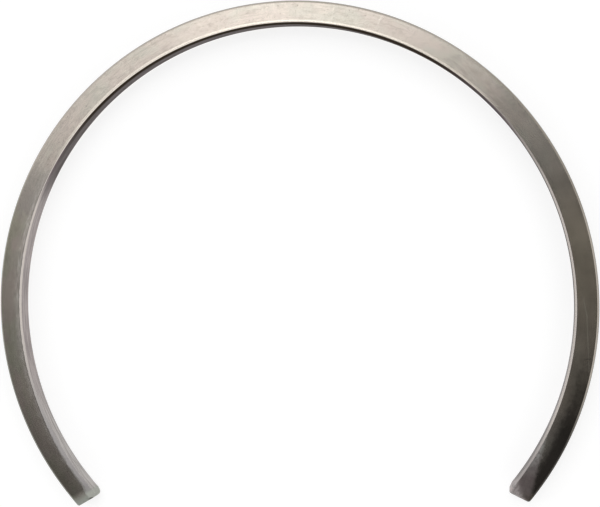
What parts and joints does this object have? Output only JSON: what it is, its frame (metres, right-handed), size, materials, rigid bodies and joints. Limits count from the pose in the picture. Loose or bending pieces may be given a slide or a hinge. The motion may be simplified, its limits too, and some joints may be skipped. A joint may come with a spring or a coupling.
{
  "type": "centering ring",
  "caption": "Open steel ring of square section that lies in the bore of a split bearing housing, beside the bearing, and fixes it in the middle of its seat.",
  "frame": {"origin": "on the ring's axis, in the plane of the side face that the ring lies on", "axes": "+Z along the ring's axis, away from the surface that the ring lies on; +X across the ring; the gap opens towards -Y"},
  "size_m": [0.14, 0.1158, 0.005],
  "materials": {
    "ground_steel": "satin, oiled and lightly marked"
  },
  "bodies": {
    "root": {"centering_ring": "ground_steel"}
  },
  "joints": []
}
